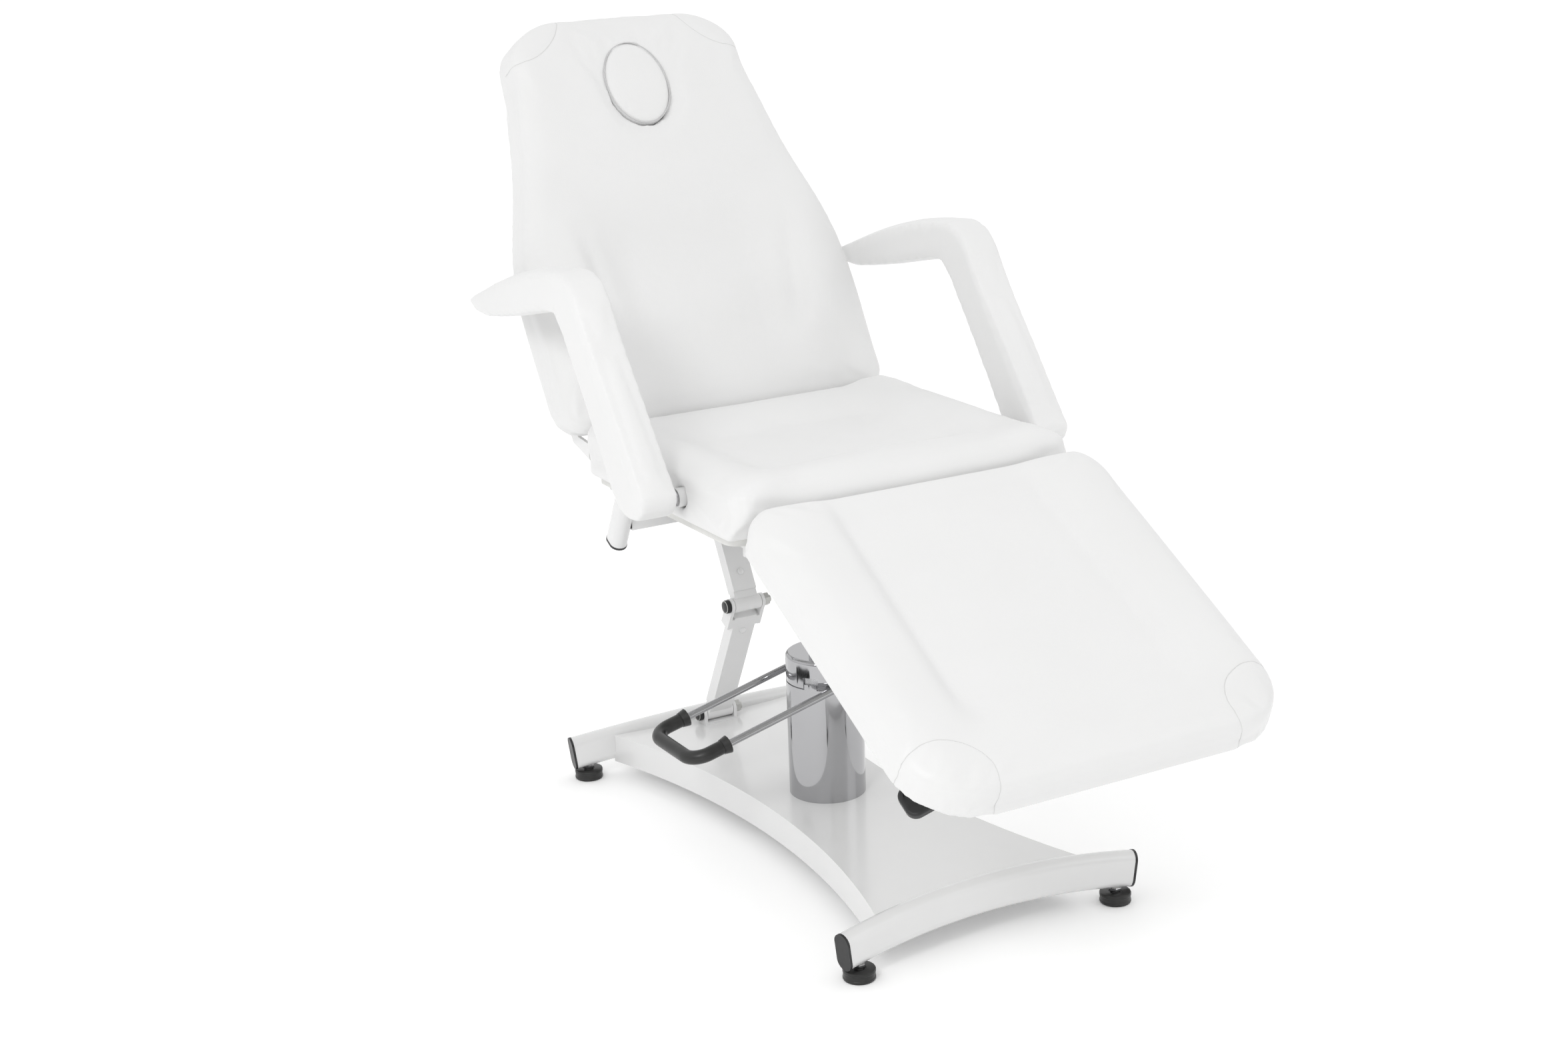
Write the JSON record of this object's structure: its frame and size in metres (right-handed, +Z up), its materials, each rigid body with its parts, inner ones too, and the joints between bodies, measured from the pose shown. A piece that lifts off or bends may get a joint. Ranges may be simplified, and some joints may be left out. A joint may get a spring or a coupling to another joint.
{
  "type": "facial treatment bed",
  "caption": "Hydraulic treatment bed with a white padded seat, reclining back with face hole plug, leg rest, swing-back armrests and foot pedal.",
  "frame": {"origin": "on the floor, under the middle of the bed's outline as seen from above", "axes": "+Z up, +Y towards the backrest, +X to the occupant's left, the pedal on the -X side"},
  "size_m": [0.784, 1.5422, 1.3257],
  "materials": {
    "white_leather": "satin",
    "white_enamel": "gloss",
    "chrome": "polished",
    "bright_steel": "satin",
    "zinc_steel": "satin",
    "black_plastic": "satin",
    "black_rubber": "satin",
    "backing_board": "matte"
  },
  "bodies": {
    "base": {"base_bar_front": "white_enamel", "base_bar_rear": "white_enamel", "bar_end_caps": "black_plastic", "base_cover": "white_enamel", "foot_inserts": "zinc_steel", "pump_shell": "chrome", "pump_head": "chrome", "pump_cylinder": "bright_steel", "pedal_pins": "zinc_steel", "link_base_bracket": "white_enamel", "link_base_bolt": "zinc_steel"},
    "pedal": {"pedal_bar": "chrome", "pedal_grip": "black_rubber"},
    "lower_link": {"lower_link_arm": "white_enamel", "link_middle_bolt": "zinc_steel"},
    "upper_link": {"upper_link_arm": "white_enamel", "link_top_bolt": "zinc_steel"},
    "carriage": {"piston": "bright_steel", "piston_flange": "bright_steel", "flange_bolts": "zinc_steel", "seat_plate": "white_enamel", "seat_rails": "white_enamel", "seat_cross_tubes": "white_enamel", "seat_rail_caps": "black_plastic", "drop_arms": "white_enamel", "drop_arm_caps": "black_plastic", "drop_cross_tube": "white_enamel", "link_top_bracket": "white_enamel", "back_hinge_lugs": "white_enamel", "leg_hinge_lugs": "white_enamel", "hinge_pins": "zinc_steel", "seat_board": "backing_board", "seat_cushion": "white_leather", "arm_bushings": "white_enamel"},
    "back": {"back_cushion": "white_leather", "back_board": "backing_board", "back_rails": "white_enamel", "back_cross_tubes": "white_enamel", "back_hinge_straps": "white_enamel", "back_lever_bracket": "white_enamel"},
    "back_release": {"back_lever": "black_plastic"},
    "face_plug": {"face_plug_cushion": "white_leather", "face_plug_board": "backing_board"},
    "leg": {"leg_cushion": "white_leather", "leg_board": "backing_board", "leg_rails": "white_enamel", "leg_cross_tubes": "white_enamel", "leg_hinge_straps": "white_enamel", "leg_lever_bracket": "white_enamel"},
    "leg_release": {"leg_lever": "black_plastic"},
    "arm_left": {"arm_pad_left": "white_leather", "arm_core_left": "chrome"},
    "arm_right": {"arm_pad_right": "white_leather", "arm_core_right": "chrome"},
    "foot_front_left": {"foot_front_left": "black_rubber"},
    "foot_front_right": {"foot_front_right": "black_rubber"},
    "foot_rear_left": {"foot_rear_left": "black_rubber"},
    "foot_rear_right": {"foot_rear_right": "black_rubber"}
  },
  "joints": [
    {"name": "lift", "type": "slide", "parent": "base", "child": "carriage", "axis": [0, 0, 1], "range_m": [-0.1, 0.02]},
    {"name": "pedal_press", "type": "hinge", "parent": "base", "child": "pedal", "pos_m": [0.02, 0.0436, 0.294], "axis": [0, -1, 0], "range_deg": [0, 14], "stiffness_Nm_per_rad": 8, "springref_deg": -28.65},
    {"name": "lower_link_turn", "type": "hinge", "parent": "base", "child": "lower_link", "pos_m": [0, 0.4356, 0.096], "axis": [1, 0, 0], "range_deg": [-3.6, 17.6]},
    {"name": "upper_link_turn", "type": "hinge", "parent": "lower_link", "child": "upper_link", "pos_m": [0, 0.31094, 0.3355], "axis": [1, 0, 0], "range_deg": [-35.1, 7.1]},
    {"name": "back_recline", "type": "hinge", "parent": "carriage", "child": "back", "pos_m": [0, 0.3276, 0.64], "axis": [1, 0, 0], "range_deg": [-58, 12]},
    {"name": "leg_raise", "type": "hinge", "parent": "carriage", "child": "leg", "pos_m": [0, -0.2474, 0.64], "axis": [-1, 0, 0], "range_deg": [-15.5, 29.5]},
    {"name": "arm_left_swing", "type": "hinge", "parent": "carriage", "child": "arm_left", "pos_m": [-0.311, -0.0564, 0.664], "axis": [-1, 0, 0], "range_deg": [0, 95]},
    {"name": "arm_right_swing", "type": "hinge", "parent": "carriage", "child": "arm_right", "pos_m": [0.311, -0.0564, 0.664], "axis": [-1, 0, 0], "range_deg": [0, 95]},
    {"name": "back_lever_pull", "type": "hinge", "parent": "back", "child": "back_release", "pos_m": [-0.096, 0.57843, 0.88265], "axis": [0, 0.5299, 0.848], "range_deg": [0, 12], "stiffness_Nm_per_rad": 0.6, "springref_deg": -22.92},
    {"name": "leg_lever_pull", "type": "hinge", "parent": "leg", "child": "leg_release", "pos_m": [-0.15, -0.61905, 0.37525], "axis": [0, 0.8704, 0.4924], "range_deg": [0, 12], "stiffness_Nm_per_rad": 0.6, "springref_deg": -22.92},
    {"name": "face_plug_out", "type": "slide", "parent": "back", "child": "face_plug", "axis": [0, -0.848, 0.5299], "range_m": [0, 0.09]},
    {"name": "foot_front_left_screw", "type": "hinge", "parent": "base", "child": "foot_front_left", "pos_m": [-0.236, -0.4394, 0], "axis": [0, 0, 1], "continuous": true},
    {"name": "foot_front_right_screw", "type": "hinge", "parent": "base", "child": "foot_front_right", "pos_m": [0.236, -0.4394, 0], "axis": [0, 0, 1], "continuous": true},
    {"name": "foot_rear_left_screw", "type": "hinge", "parent": "base", "child": "foot_rear_left", "pos_m": [-0.236, 0.4946, 0], "axis": [0, 0, 1], "continuous": true},
    {"name": "foot_rear_right_screw", "type": "hinge", "parent": "base", "child": "foot_rear_right", "pos_m": [0.236, 0.4946, 0], "axis": [0, 0, 1], "continuous": true}
  ],
  "couplings": [
    {"joint": "lower_link_turn", "follows": "lift", "rad_per_m": -3.05},
    {"joint": "upper_link_turn", "follows": "lift", "rad_per_m": 6.1}
  ]
}
